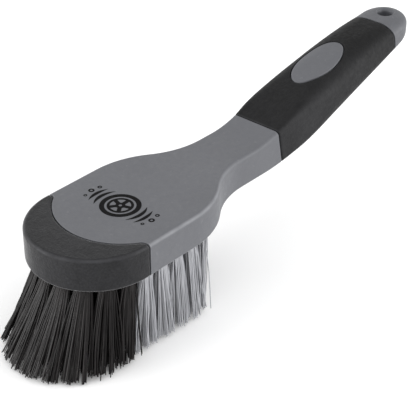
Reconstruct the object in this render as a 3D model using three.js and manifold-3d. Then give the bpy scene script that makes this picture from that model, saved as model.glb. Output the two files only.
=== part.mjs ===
// A wheel brush: one rigid moulded handle and head, two soft overmoulds, and separate tufts of
// filament stapled into blind holes. Millimetres, +Z up, +X from the head towards the handle's end.
// Lengths along the brush are measured from the front of the head, and heights from the bristle tips.
// The finished group is moved so that the origin is the middle of the bounding box's floor.
import * as THREE from "three";
import { mergeVertices } from "three/addons/utils/BufferGeometryUtils.js";
import Module from "manifold-3d";

const { lerp, degToRad } = THREE.MathUtils;
const wasm = await Module();
wasm.setup();

// ---- Driving dimensions ----
const HEAD_WIDTH = 64;
const HEAD_THICKNESS = 16.8;
const BRISTLE_LENGTH = 40.7;
const NECK_WIDTH = 28.6;
const OVERALL_BODY_LENGTH = 262.5;
const TOP_EDGE_RADIUS = 2;
const BOTTOM_EDGE_RADIUS = 1.8;
const LEAST_EDGE_RADIUS = 0.6;
const SKIN = 2.5; // thickness of both soft overmoulds
const GAP = 0.3; // clearance between neighbouring pieces

// ---- Head outline ----
const NOSE_RADIUS = HEAD_WIDTH / 2;
const NECK_HALF = NECK_WIDTH / 2;
const SHOULDER_START = 63.5;
const SHOULDER_RADIUS = 44.5;
const SHOULDER_DROP = NOSE_RADIUS - NECK_HALF;
const SHOULDER_ANGLE = Math.acos(1 - SHOULDER_DROP / 2 / SHOULDER_RADIUS);
const SHOULDER_HALF_LENGTH = SHOULDER_RADIUS * Math.sin(SHOULDER_ANGLE);
const NECK_START = SHOULDER_START + 2 * SHOULDER_HALF_LENGTH;
const BRISTLE_FACE = BRISTLE_LENGTH;
const HEAD_TOP = BRISTLE_FACE + HEAD_THICKNESS;

// ---- Handle: x, half width, rise of its top over the head's top, rise of its underside over the
// bristle face, and roundness: 0 has the head's tight edges and 1 is an ellipse ----
const HANDLE = [
  { x: 126, half: NECK_HALF, top: 0, under: 0, round: 0 },
  { x: 141, half: 14.3, top: 2.2, under: 0, round: 0.03 },
  { x: 154, half: 15.3, top: 7, under: 1.7, round: 0.14 },
  { x: 169, half: 16.4, top: 12.1, under: 3.4, round: 0.43 },
  { x: 189, half: 17.1, top: 18.4, under: 7.5, round: 0.78 },
  { x: 209, half: 16.2, top: 22.6, under: 13.2, round: 0.8 },
  { x: 229, half: 15, top: 25.1, under: 19.6, round: 0.73 },
  { x: 250, half: 13.8, top: 26.2, under: 27, round: 0.61 },
  { x: 264, half: 13.8, top: 28, under: 33.2, round: 0.44 },
];
const TAIL_RADIUS = 13.8;
const TAIL_CENTRE = OVERALL_BODY_LENGTH - TAIL_RADIUS;
const HANG_HOLE_X = 252;
const HANG_HOLE_RADIUS = 4;
const HANG_HOLE_FLARE = 1.5;

// ---- Overmoulds ----
const BUMPER_BACK = 34.1; // where the bumper's side edges stand
const BUMPER_ARC_RADIUS = 33; // of its concave back edge on the head's top
const BUMPER_ARC_CENTRE = 51.2;
const BUMPER_CORNER_Y = 27.3; // where that arc turns into the side edge
const GRIP_START = 143.6;
const GRIP_START_LEAN = 0.18;
const GRIP_END = 240.4;
const GRIP_END_LEAN = 0.23;
const WINDOW_X = 192.7;
const WINDOW_HALF_LENGTH = 18.4;
const WINDOW_HALF_WIDTH = 9.9;

// ---- Tufts: rows are numbered outwards from the centre line ----
const ROW_SPACING = 8.65;
const ALONG_PITCH = 9.8;
const HOLE_RADIUS = 2.8;
const HOLE_DEPTH = 11;
const TUFT_ROOT_RADIUS = HOLE_RADIUS - GAP;
const TIP_DEPTH = 4.1; // half of a tuft's size at its tips, outwards from the row
const LINE_TIP_REACH = 4.5; // and half of its size along the row, where the rows are straight
const TUFT_SIDES = 12;
const SIDE_SPLAY = 1; // how far the outermost tips lean sideways
const FRONT_SPLAY = 15; // how much further they lean at the very front
const BLACK_TUFTS_END = 34;
const OUTER_ROW = 3;
// Angles round the nose with half of each tuft's size along that arc, then the straight part.
const ROWS = [
  { row: 0, arcDegrees: [], arcTipReach: 0, firstX: 33, columns: 5 },
  { row: 1, arcDegrees: [0, 60], arcTipReach: 3.9, firstX: 37.6, columns: 5 },
  { row: 2, arcDegrees: [0, 30, 60, 90], arcTipReach: 4, firstX: 41, columns: 4 },
  { row: 3, arcDegrees: [11.25, 33.75, 56.25, 78.75], arcTipReach: 4.4, firstX: 36.3, columns: 4 },
];
const REAR_CORNER_TUFT = { x: 75.6, y: 24, tipReach: 3.7 };

// ---- Mesh fineness ----
const NOSE_STEPS = 9;
const HEAD_STEPS = 2;
const SHOULDER_STEPS = 14;
const HANDLE_STEPS = 20;
const TAIL_STEPS = 7;
const EDGE_STEPS = 5;
const HOLE_SIDES = 14;
const CUT_PAST = 1; // how far a cutting body runs past the face that it cuts

// ---- Materials ----
const CORE_GREY = new THREE.MeshStandardMaterial({ color: 0x77787b, roughness: 0.48, metalness: 0 });
const SOFT_DARK = new THREE.MeshStandardMaterial({ color: 0x39393b, roughness: 0.78, metalness: 0 });
const SOFT_CHARCOAL = new THREE.MeshStandardMaterial({ color: 0x444547, roughness: 0.8, metalness: 0 });
const FILAMENT_BLACK = new THREE.MeshStandardMaterial({ color: 0x201e1e, roughness: 0.45, metalness: 0 });
const FILAMENT_GREY = new THREE.MeshStandardMaterial({ color: 0x8f9094, roughness: 0.5, metalness: 0 });

// ---- Solids and meshes ----

function solidOf(geometry) {
  geometry.deleteAttribute("normal");
  geometry.deleteAttribute("uv");
  const merged = mergeVertices(geometry, 1e-4);
  const corners = merged.index.array;
  const kept = [];
  for (let i = 0; i < corners.length; i += 3) {
    const [a, b, c] = [corners[i], corners[i + 1], corners[i + 2]];
    if (a !== b && b !== c && c !== a) kept.push(a, b, c);
  }
  const mesh = new wasm.Mesh({
    numProp: 3,
    vertProperties: merged.attributes.position.array,
    triVerts: new Uint32Array(kept),
  });
  return new wasm.Manifold(mesh);
}

function meshOf(solid, name, material) {
  const made = solid.getMesh();
  const geometry = new THREE.BufferGeometry();
  geometry.setAttribute("position", new THREE.BufferAttribute(made.vertProperties, 3));
  geometry.setIndex(new THREE.BufferAttribute(made.triVerts, 1));
  geometry.computeVertexNormals();
  const mesh = new THREE.Mesh(geometry, material);
  mesh.name = name;
  return mesh;
}

// A closed skin over rings of equal length. The first and last rings are capped by fans.
function geometryOfRings(rings) {
  const points = rings.flat();
  const count = rings[0].length;
  const faces = [];
  for (let r = 0; r + 1 < rings.length; r++) {
    for (let i = 0; i < count; i++) {
      const a = r * count + i;
      const b = r * count + ((i + 1) % count);
      faces.push(a, b, b + count, a, b + count, a + count);
    }
  }
  const last = (rings.length - 1) * count;
  for (let i = 1; i + 1 < count; i++) {
    faces.push(0, i + 1, i);
    faces.push(last, last + i, last + i + 1);
  }
  const geometry = new THREE.BufferGeometry().setFromPoints(points);
  geometry.setIndex(faces);
  return geometry;
}

// ---- The moulded outside shape ----

// A smooth curve through one column of HANDLE, level with the neck before its first row.
function handleValue(x, key) {
  if (x <= HANDLE[0].x) return HANDLE[0][key];
  const last = HANDLE.length - 1;
  const found = HANDLE.findIndex((row) => row.x >= x);
  const i = found < 0 ? last - 1 : found - 1;
  const slope = (j) => {
    if (j === 0) return 0;
    const [before, after] = [HANDLE[j - 1], HANDLE[Math.min(j + 1, last)]];
    return (after[key] - before[key]) / (after.x - before.x);
  };
  const step = HANDLE[i + 1].x - HANDLE[i].x;
  const t = Math.min((x - HANDLE[i].x) / step, 1);
  const [a, b] = [HANDLE[i][key], HANDLE[i + 1][key]];
  const rise = t * t * (3 - 2 * t);
  const leave = t * (1 - t) * (1 - t) * step * slope(i);
  const arrive = t * t * (1 - t) * step * slope(i + 1);
  return lerp(a, b, rise) + leave - arrive;
}

// Half of the plan width: straight sides, a shoulder of two equal arcs, the neck and the handle.
function halfWidth(x) {
  if (x <= SHOULDER_START) return NOSE_RADIUS;
  if (x >= NECK_START) return handleValue(x, "half");
  const middle = SHOULDER_START + SHOULDER_HALF_LENGTH;
  const run = x < middle ? x - SHOULDER_START : NECK_START - x;
  const drop = SHOULDER_RADIUS - Math.sqrt(SHOULDER_RADIUS ** 2 - run ** 2);
  return x < middle ? NOSE_RADIUS - drop : NECK_HALF + drop;
}

// Lines in plan from the centre line out to one side: fans at both rounded ends, square between.
function planSpokes() {
  const fan = (centre, radius, from, to, steps) =>
    Array.from({ length: steps + 1 }, (_, i) => {
      const angle = degToRad(lerp(from, to, i / steps));
      return { x: centre, reach: radius, dx: Math.cos(angle), dy: Math.sin(angle) };
    });
  const square = (from, to, steps) =>
    Array.from({ length: steps }, (_, i) => {
      const x = lerp(from, to, (i + 1) / steps);
      return { x, reach: halfWidth(x), dx: 0, dy: 1 };
    });
  return [
    ...fan(NOSE_RADIUS, NOSE_RADIUS, 180, 90, NOSE_STEPS),
    ...square(NOSE_RADIUS, SHOULDER_START, HEAD_STEPS),
    ...square(SHOULDER_START, NECK_START, SHOULDER_STEPS),
    ...square(NECK_START, TAIL_CENTRE, HANDLE_STEPS).slice(0, -1),
    ...fan(TAIL_CENTRE, TAIL_RADIUS, 90, 0, TAIL_STEPS),
  ];
}

// One spoke's section, from the top's centre line over the edge to the underside's centre line.
function spokeSection({ x, reach, dx, dy }, inset) {
  const out = reach - inset.side;
  const round = handleValue(x, "round");
  const topEdge = Math.max(TOP_EDGE_RADIUS - inset.side, LEAST_EDGE_RADIUS);
  const underEdge = Math.max(BOTTOM_EDGE_RADIUS - inset.side, LEAST_EDGE_RADIUS);
  const points = [];
  const place = (along, topDrop, underRise) => {
    const px = x + dx * along;
    const top = HEAD_TOP + handleValue(px, "top") - inset.top;
    const under = BRISTLE_FACE + handleValue(px, "under") + inset.under;
    const half = (top - under) / 2;
    const fromTop = top - topDrop * lerp(topEdge, half, round);
    const fromUnder = under + underRise * lerp(underEdge, half, round);
    points.push(new THREE.Vector3(px, dy * along, underRise < 0 ? fromTop : fromUnder));
  };
  place(0, 0, -1);
  for (const a of quarterTurn()) {
    place(out - lerp(topEdge, out, round) * (1 - Math.sin(a)), 1 - Math.cos(a), -1);
  }
  for (const a of quarterTurn()) {
    place(out - lerp(underEdge, out, round) * (1 - Math.cos(a)), 0, 1 - Math.sin(a));
  }
  place(0, 0, 0);
  return points;
}

function quarterTurn() {
  return Array.from({ length: EDGE_STEPS + 1 }, (_, i) => (Math.PI / 2) * (i / EDGE_STEPS));
}

// The outside shape, or the same shape moved inwards by inset's three amounts.
function hull(inset) {
  const side = planSpokes();
  const mirrored = side.slice(1, -1).reverse();
  const spokes = [...side, ...mirrored.map((s) => ({ ...s, dy: -s.dy }))];
  const sections = spokes.map((s) => spokeSection(s, inset));
  const faces = [];
  const deep = sections[0].length;
  for (let s = 0; s < sections.length; s++) {
    const next = (s + 1) % sections.length;
    for (let i = 0; i + 1 < deep; i++) {
      const [a, b] = [s * deep + i, next * deep + i];
      faces.push(a, b, a + 1, b, b + 1, a + 1);
    }
  }
  const geometry = new THREE.BufferGeometry().setFromPoints(sections.flat());
  geometry.setIndex(faces);
  return solidOf(geometry);
}

const NO_INSET = { side: 0, top: 0, under: 0 };
const underSkin = (depth) => ({ side: depth, top: depth, under: depth });
const underBumper = (depth) => ({ side: depth, top: depth, under: 0 });

// ---- Zones that the two overmoulds fill ----

function prism(shape, from, height, curveSegments = 12) {
  const options = { depth: height, bevelEnabled: false, curveSegments };
  return new THREE.ExtrudeGeometry(shape, options).translate(0, 0, from);
}

// Everything ahead of the bumper's back edge, in plan, kept back from that edge by gap.
function bumperZone(gap) {
  const radius = BUMPER_ARC_RADIUS + gap;
  const back = BUMPER_BACK - gap;
  const angle = Math.asin(BUMPER_CORNER_Y / radius);
  const arcX = BUMPER_ARC_CENTRE - radius * Math.cos(angle);
  const controlY = BUMPER_CORNER_Y + (back - arcX) / Math.tan(angle);
  const sideY = NOSE_RADIUS + CUT_PAST;
  const clear = HEAD_WIDTH;
  const shape = new THREE.Shape();
  shape.moveTo(-clear, -clear);
  shape.lineTo(back, -clear);
  shape.lineTo(back, -sideY);
  shape.quadraticCurveTo(back, -controlY, arcX, -BUMPER_CORNER_Y);
  shape.absarc(BUMPER_ARC_CENTRE, 0, radius, Math.PI + angle, Math.PI - angle, true);
  shape.quadraticCurveTo(back, controlY, back, sideY);
  shape.lineTo(back, clear);
  shape.lineTo(-clear, clear);
  shape.closePath();
  return solidOf(prism(shape, 0, 2 * HEAD_TOP, 20));
}

// The stretch of handle under the grip, between two leaning planes, kept back from both by gap.
function gripZone(gap) {
  const [low, high, wide] = [0, 2 * HEAD_TOP, HEAD_WIDTH];
  const startTop = HEAD_TOP + handleValue(GRIP_START, "top");
  const endTop = HEAD_TOP + handleValue(GRIP_END, "top");
  const start = (z) => GRIP_START + gap + Math.tan(GRIP_START_LEAN) * (startTop - z);
  const end = (z) => GRIP_END - gap + Math.tan(GRIP_END_LEAN) * (endTop - z);
  const shape = new THREE.Shape([
    new THREE.Vector2(start(low), low),
    new THREE.Vector2(end(low), low),
    new THREE.Vector2(end(high), high),
    new THREE.Vector2(start(high), high),
  ]);
  return solidOf(prism(shape, 0, wide).rotateX(Math.PI / 2).translate(0, wide / 2, 0));
}

// The oval plug of core that shows through the top of the grip, or the opening for it.
function windowPlug(gap) {
  const shape = new THREE.Shape();
  const [a, b] = [WINDOW_HALF_LENGTH - gap, WINDOW_HALF_WIDTH - gap];
  shape.absellipse(WINDOW_X, 0, a, b, 0, 2 * Math.PI);
  const top = HEAD_TOP + handleValue(WINDOW_X, "top");
  const under = BRISTLE_FACE + handleValue(WINDOW_X, "under");
  return solidOf(prism(shape, (top + under) / 2, HEAD_TOP, 16));
}

// ---- Tufts ----

// How a tuft stands: which way is out from the head's spine, how far its tips lean that way, and how
// much the splay widens them.
function stanceOf(x, y) {
  const out = new THREE.Vector2(Math.min(x - NOSE_RADIUS, 0), y);
  const distance = out.length();
  if (distance === 0) return { out: new THREE.Vector2(0, 1), lean: 0, widen: 1 };
  out.divideScalar(distance);
  const share = distance / (OUTER_ROW * ROW_SPACING);
  const lean = share * (SIDE_SPLAY + FRONT_SPLAY * out.x ** 2);
  return { out, lean, widen: 1 + lean / distance };
}

// Every tuft's root, each off-centre one with its mirror image.
function tuftRoots() {
  const roots = [];
  const add = (x, y, tipReach) => {
    roots.push({ x, y, tipReach });
    if (y > 0.01) roots.push({ x, y: -y, tipReach });
  };
  for (const { row, arcDegrees, arcTipReach, firstX, columns } of ROWS) {
    const reach = row * ROW_SPACING;
    for (const degrees of arcDegrees) {
      const angle = degToRad(degrees);
      add(NOSE_RADIUS - reach * Math.cos(angle), reach * Math.sin(angle), arcTipReach);
    }
    for (let i = 0; i < columns; i++) add(firstX + i * ALONG_PITCH, reach, LINE_TIP_REACH);
  }
  add(REAR_CORNER_TUFT.x, REAR_CORNER_TUFT.y, REAR_CORNER_TUFT.tipReach);
  return roots;
}

// A straight leaning body of level oval rings. Each level has a height, and two half sizes: outwards
// from the spine and along the row.
function leaningBody({ x, y }, levels, sides) {
  const { out, lean } = stanceOf(x, y);
  const rings = levels.map(({ z, outReach, alongReach }) => {
    const shift = (lean * (BRISTLE_FACE - z)) / BRISTLE_LENGTH;
    return Array.from({ length: sides }, (_, i) => {
      const turn = (2 * Math.PI * i) / sides;
      const outwards = shift + outReach * Math.cos(turn);
      const along = alongReach * Math.sin(turn);
      return new THREE.Vector3(
        x + out.x * outwards - out.y * along,
        y + out.y * outwards + out.x * along,
        z,
      );
    });
  });
  return geometryOfRings(rings);
}

function roundLevel(z, radius) {
  return { z, outReach: radius, alongReach: radius };
}

function tuftHole(root) {
  const levels = [
    roundLevel(BRISTLE_FACE - CUT_PAST, HOLE_RADIUS),
    roundLevel(BRISTLE_FACE + HOLE_DEPTH, HOLE_RADIUS),
  ];
  return solidOf(leaningBody(root, levels, HOLE_SIDES));
}

function tuft(root, name, material) {
  const { widen } = stanceOf(root.x, root.y);
  const levels = [
    { z: 0, outReach: TIP_DEPTH * widen, alongReach: root.tipReach * widen },
    roundLevel(BRISTLE_FACE, TUFT_ROOT_RADIUS),
    roundLevel(BRISTLE_FACE + HOLE_DEPTH - 2 * GAP, TUFT_ROOT_RADIUS),
  ];
  return meshOf(solidOf(leaningBody(root, levels, TUFT_SIDES)), name, material);
}

// ---- Pieces ----

function hangHole() {
  const top = HEAD_TOP + handleValue(HANG_HOLE_X, "top");
  const under = BRISTLE_FACE + handleValue(HANG_HOLE_X, "under");
  const [inner, outer] = [HANG_HOLE_RADIUS, HANG_HOLE_RADIUS + HANG_HOLE_FLARE];
  const [low, high] = [under - HANG_HOLE_RADIUS, top + HANG_HOLE_RADIUS];
  const profile = [
    [0, low], [outer, low], [outer, under], [inner, under + HANG_HOLE_FLARE],
    [inner, top - HANG_HOLE_FLARE], [outer, top], [outer, high], [0, high],
  ];
  const points = profile.map(([radius, z]) => new THREE.Vector2(radius, z));
  const turned = new THREE.LatheGeometry(points, 24).rotateX(Math.PI / 2);
  return solidOf(turned.translate(HANG_HOLE_X, 0, 0));
}

function coreSolid(roots) {
  const outside = hull(NO_INSET);
  const gripRecess = gripZone(0).subtract(hull(underSkin(SKIN)));
  const bumperRecess = bumperZone(0).subtract(hull(underBumper(SKIN)));
  const plug = windowPlug(GAP).intersect(outside);
  const holes = roots.map(tuftHole);
  const blank = outside.subtract(gripRecess).subtract(bumperRecess).add(plug);
  return blank.subtract(wasm.Manifold.union(holes)).subtract(hangHole());
}

function gripSolid() {
  const ring = hull(NO_INSET).intersect(gripZone(GAP));
  return ring.subtract(hull(underSkin(SKIN - GAP))).subtract(windowPlug(0));
}

function bumperSolid() {
  const front = hull(NO_INSET).intersect(bumperZone(GAP));
  return front.subtract(hull(underBumper(SKIN - GAP)));
}

function brush() {
  const group = new THREE.Group();
  const roots = tuftRoots();
  group.add(meshOf(coreSolid(roots), "body_core", CORE_GREY));
  group.add(meshOf(bumperSolid(), "front_bumper", SOFT_CHARCOAL));
  group.add(meshOf(gripSolid(), "grip_sleeve", SOFT_DARK));
  const counts = { black: 0, grey: 0 };
  for (const root of roots) {
    const colour = root.x < BLACK_TUFTS_END ? "black" : "grey";
    counts[colour] += 1;
    const name = `${colour}_tuft_${String(counts[colour]).padStart(2, "0")}`;
    group.add(tuft(root, name, colour === "black" ? FILAMENT_BLACK : FILAMENT_GREY));
  }
  const box = new THREE.Box3().setFromObject(group);
  group.position.x = -(box.min.x + box.max.x) / 2;
  return group;
}

export default brush();
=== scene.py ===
import math
import random

import bmesh
import bpy
import numpy as np
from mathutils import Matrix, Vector


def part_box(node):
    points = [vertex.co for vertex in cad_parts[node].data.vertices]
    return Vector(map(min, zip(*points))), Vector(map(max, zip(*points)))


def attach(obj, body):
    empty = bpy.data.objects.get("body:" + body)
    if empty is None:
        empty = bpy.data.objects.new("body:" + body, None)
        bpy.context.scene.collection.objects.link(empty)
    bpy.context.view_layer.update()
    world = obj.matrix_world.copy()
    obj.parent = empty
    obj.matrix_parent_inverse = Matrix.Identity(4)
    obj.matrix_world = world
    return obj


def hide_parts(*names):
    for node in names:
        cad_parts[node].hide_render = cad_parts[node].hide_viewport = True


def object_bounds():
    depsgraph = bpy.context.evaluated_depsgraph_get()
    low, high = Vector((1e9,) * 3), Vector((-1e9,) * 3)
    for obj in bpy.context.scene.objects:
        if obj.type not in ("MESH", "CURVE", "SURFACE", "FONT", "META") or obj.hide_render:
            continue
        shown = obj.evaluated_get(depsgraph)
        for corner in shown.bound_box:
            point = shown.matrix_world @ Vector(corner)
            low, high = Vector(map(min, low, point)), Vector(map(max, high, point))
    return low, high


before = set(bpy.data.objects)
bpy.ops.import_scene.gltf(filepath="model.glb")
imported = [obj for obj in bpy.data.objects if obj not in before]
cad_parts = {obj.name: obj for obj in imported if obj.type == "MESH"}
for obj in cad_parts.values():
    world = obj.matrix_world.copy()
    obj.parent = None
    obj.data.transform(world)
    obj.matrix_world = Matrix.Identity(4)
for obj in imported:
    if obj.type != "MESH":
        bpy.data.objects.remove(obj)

CAD_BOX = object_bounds()
MM = 0.001
HEAD_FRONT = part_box("front_bumper")[0].x
TIP_LEVEL = CAD_BOX[0].z

# ---- Driving dimensions, as in the CAD model: millimetres, and radians for leans ----
HEAD_WIDTH = 64.0
BRISTLE_FACE = 40.7
HEAD_TOP = 57.5
NECK_HALF = 14.3
NOSE_RADIUS = HEAD_WIDTH / 2
TOP_EDGE, BOTTOM_EDGE, LEAST_EDGE = 2.0, 1.8, 0.6  # radii of the mouldings' outer edges
SKIN = 2.5  # depth of the core's recesses for both soft overmoulds
SHOULDER_START = 63.5
SHOULDER_RADIUS = 44.5
SHOULDER_DROP = NOSE_RADIUS - NECK_HALF
SHOULDER_HALF = SHOULDER_RADIUS * math.sin(math.acos(1 - SHOULDER_DROP / 2 / SHOULDER_RADIUS))
NECK_START = SHOULDER_START + 2 * SHOULDER_HALF
TAIL_RADIUS = 13.8
TAIL_CENTRE = 248.7

# The handle: x, half width, rise of the top, rise of the underside, and roundness from 0 to 1.
HANDLE_X = (126, 141, 154, 169, 189, 209, 229, 250, 264)
HANDLE = {
    "half": (14.3, 14.3, 15.3, 16.4, 17.1, 16.2, 15, 13.8, 13.8),
    "top": (0, 2.2, 7, 12.1, 18.4, 22.6, 25.1, 26.2, 28),
    "under": (0, 0, 1.7, 3.4, 7.5, 13.2, 19.6, 27, 33.2),
    "round": (0, 0.03, 0.14, 0.43, 0.78, 0.8, 0.73, 0.61, 0.44),
}

HANG_HOLE_X = 252.0
HANG_HOLE_RADIUS = 4.0
HANG_HOLE_FLARE = 1.5
BUMPER_BACK = 34.1
BUMPER_ARC_RADIUS = 33.0
BUMPER_ARC_CENTRE = 51.2
BUMPER_CORNER_Y = 27.3
GRIP_START, GRIP_START_LEAN = 143.6, 0.18
GRIP_END, GRIP_END_LEAN = 240.4, 0.23
WINDOW_X, WINDOW_HALF_LENGTH, WINDOW_HALF_WIDTH = 192.7, 18.4, 9.9
ROW_SPACING = 8.65
ALONG_PITCH = 9.8
HOLE_RADIUS = 2.8
HOLE_DEPTH = 11.0
TIP_DEPTH = 4.1  # half of a tuft's size at its tips, outwards from the row
LINE_TIP_REACH = 4.5  # and half of its size along the row, where the rows are straight
SIDE_SPLAY = 1.0  # how far the outermost tips lean sideways
FRONT_SPLAY = 15.0  # how much further they lean at the very front
BLACK_TUFTS_END = 34.0
OUTER_ROW = 3
ROWS = (  # row, angles round the nose, tip reach there, first x along the side, number along the side
    (0, (), 0, 33, 5),
    (1, (0, 60), 3.9, 37.6, 5),
    (2, (0, 30, 60, 90), 4, 41, 4),
    (3, (11.25, 33.75, 56.25, 78.75), 4.4, 36.3, 4),
)
REAR_CORNER_TUFT = (75.6, 24, 3.7)

# ---- Detail of the mouldings that the CAD model leaves out ----
GAP = 0.5  # the parting line between the core and an overmould
RIM = 0.8  # rounding along the edges of both overmoulds
RIM_SHARES = (0, 0.04, 0.15, 0.35, 0.62, 1)  # where the bumper's rounded rim has its points
RIM_CLEAR = 1.4  # where its surface is plain again, in rims
CORE_RIM = 0.35  # rounding of the core beside the grip
WINDOW_RIM = 0.4  # and round the grip's window and the boss in it
CROWN_SCALES = (0.85, 0.7, 0.5, 0.3, 0.1)  # the rings inside an oval's edge that follow the crown
LEAN_BEGINS = 117.0  # where the core's sections start to lean, ahead of the grip
HOLE_CHAMFER = 0.35
CUT_PAST = 1.0  # how far a cutting body runs past the face that it cuts
BUMPER_SIDE_Y = 33.0  # where the bumper's back edge has turned square to the side
EDGE_SAMPLES = 340  # points along that edge
BISECTIONS = 40  # rounds of the search for where it crosses a spoke
LEAN_ROUNDS = 8  # rounds of the search for where a leaning plane crosses the hull
SHARP_DEGREES = 35  # edges sharper than this are shaded sharp
WELD_DISTANCE = 1e-7  # metres

# ---- Filaments ----
FIRST_SEED = 1000
FILAMENT_RADIUS = 0.235
THINNEST, THICKEST = 0.9, 1.06  # as shares of that radius
FOLDED_FILAMENTS = 56  # in one tuft, each with two legs
FILAMENT_SIDES = 5
ROOT_REACH = 2.5  # of a tuft in its hole
BESIDE_ANCHOR, PLACE_JITTER = 0.34, 0.05  # how close to its anchor a filament is packed
TIP_OVERLAP = 1.6  # how far neighbouring tufts' tips mingle
TIP_FLARE = 3.2  # how much further the foremost tips bend forward
TIP_SWEEP, SWEEP_FROM_X, SWEEP_RUN = 6.6, 44, 17  # how all tips in the front half bend forward
TIPS_SIDE, TIPS_FRONT, TIPS_REAR_X = 31.6, 49.8, 72.8  # the outline that the tips keep to
ROOTS_REACH, ROOTS_REACH_FRONT, ROOTS_REAR_X = 27.8, 26.4, 76.4  # and the roots' outline
OUTLINE_TURN, OUTLINE_DROP = 1.6, 1.2  # powers: from side to front, and from roots to tips
MOUTH_SPREAD = 1.5  # how much a tuft widens as it leaves its hole
LEG_SHARES = (1, 0.75, 0.5, 0.25, 0.07)  # of the way from the bristle face to the tips
FAN_POWER, LEAN_POWER = 0.85, 1.3  # how soon a leg fans out, and how soon it leans
TIP_CLUMPS = 12  # in one tuft
CLUMP_GIVE, CLUMP_LIFT = 2.0, 2.0  # how far clumps lie inside the outline, and above the trim
CLUMP_PULL = 0.6  # how far a tip is drawn to its clump, from 0 to 1
TIP_GIVE, TRIM_SCATTER = 0.6, 0.9  # and how far single tips do
TIP_SCATTER = 0.55  # how far a tip lies beside its place
STRAYS, STRAY_SCATTER = 0.1, 2.2  # the share of legs that join no clump
SHORT_ONES, SHORT_BY = 0.05, (1, 3)  # the share of legs that end well above the trim
BOW = 0.5  # how far a leg bends sideways at half its length
SLACK = 0.7  # how far a leg may stand outside the brush's outline
WILD_ONES, WILD_SLACK = 0.006, 5  # the share of legs that stand well outside it
FOLD_Z = BRISTLE_FACE + 8.2  # where filaments bend over their anchor
FOLD_RISE = 0.85  # the bend's height as a share of its half width
ANCHOR_SIZE = (5.3, 0.36, 2.6)  # width, thickness, height
ANCHOR_NIP, ANCHOR_EDGE = 0.45, 0.07  # its nipped corners and softened edges
ANCHOR_TOP = FOLD_Z - 0.1

# ---- Studio: metres, degrees and watts ----
VIEW_AZIMUTH, VIEW_ELEVATION, VIEW_DISTANCE = -48.54, 32.37, 0.63598
VIEW_TARGET_X, VIEW_TARGET_Z = 0.10558, 0.03037  # from the head's front and the bristle tips
SENSOR_WIDTH, LENS = 36, 114.1  # millimetres
WORLD_STRENGTH = 1.05
LIGHTS_AIM = (0, 0, 0.05)
LIGHTS = (  # name, place, size, power
    ("key", (1.0, -1.3, 0.4), (1.6, 1.0), 24),
    ("rim", (-1.3, 0.85, 0.2), (1.2, 0.8), 25),
)
FLOOR_HALF = 4.0
FLOOR_DROP = 0.0001


# ---- Camera, floor and light ----


def add_object(name, data):
    made = bpy.data.objects.new(name, data)
    bpy.context.scene.collection.objects.link(made)
    return made


def aim(thing, target):
    thing.rotation_mode = "QUATERNION"
    thing.rotation_quaternion = (Vector(target) - thing.location).to_track_quat("-Z", "Y")


def make_camera():
    azimuth, elevation = math.radians(VIEW_AZIMUTH), math.radians(VIEW_ELEVATION)
    target = Vector((HEAD_FRONT + VIEW_TARGET_X, 0, TIP_LEVEL + VIEW_TARGET_Z))
    back = Vector((
        math.sin(azimuth) * math.cos(elevation),
        -math.cos(azimuth) * math.cos(elevation),
        math.sin(elevation),
    ))
    data = bpy.data.cameras.new("camera")
    data.sensor_width = SENSOR_WIDTH
    data.lens = LENS
    camera = add_object("camera", data)
    camera.location = target + back * VIEW_DISTANCE
    aim(camera, target)
    bpy.context.scene.camera = camera


def make_area_light(name, place, size, power):
    data = bpy.data.lights.new(name, "AREA")
    data.shape = "RECTANGLE"
    data.size, data.size_y = size
    data.energy = power
    light = add_object(name, data)
    light.location = place
    aim(light, LIGHTS_AIM)


def make_world():
    world = bpy.data.worlds.new("studio")
    world.use_nodes = True
    background = world.node_tree.nodes["Background"]
    background.inputs["Color"].default_value = (1, 1, 1, 1)
    background.inputs["Strength"].default_value = WORLD_STRENGTH
    bpy.context.scene.world = world
    bpy.context.scene.view_settings.view_transform = "Standard"


# ---- Materials ----


def linear(hex_colour):
    """The linear colour of an sRGB number such as 0x77787b."""
    parts = [(hex_colour >> shift & 255) / 255 for shift in (16, 8, 0)]
    return [c / 12.92 if c <= 0.04045 else ((c + 0.055) / 1.055) ** 2.4 for c in parts] + [1]


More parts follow.
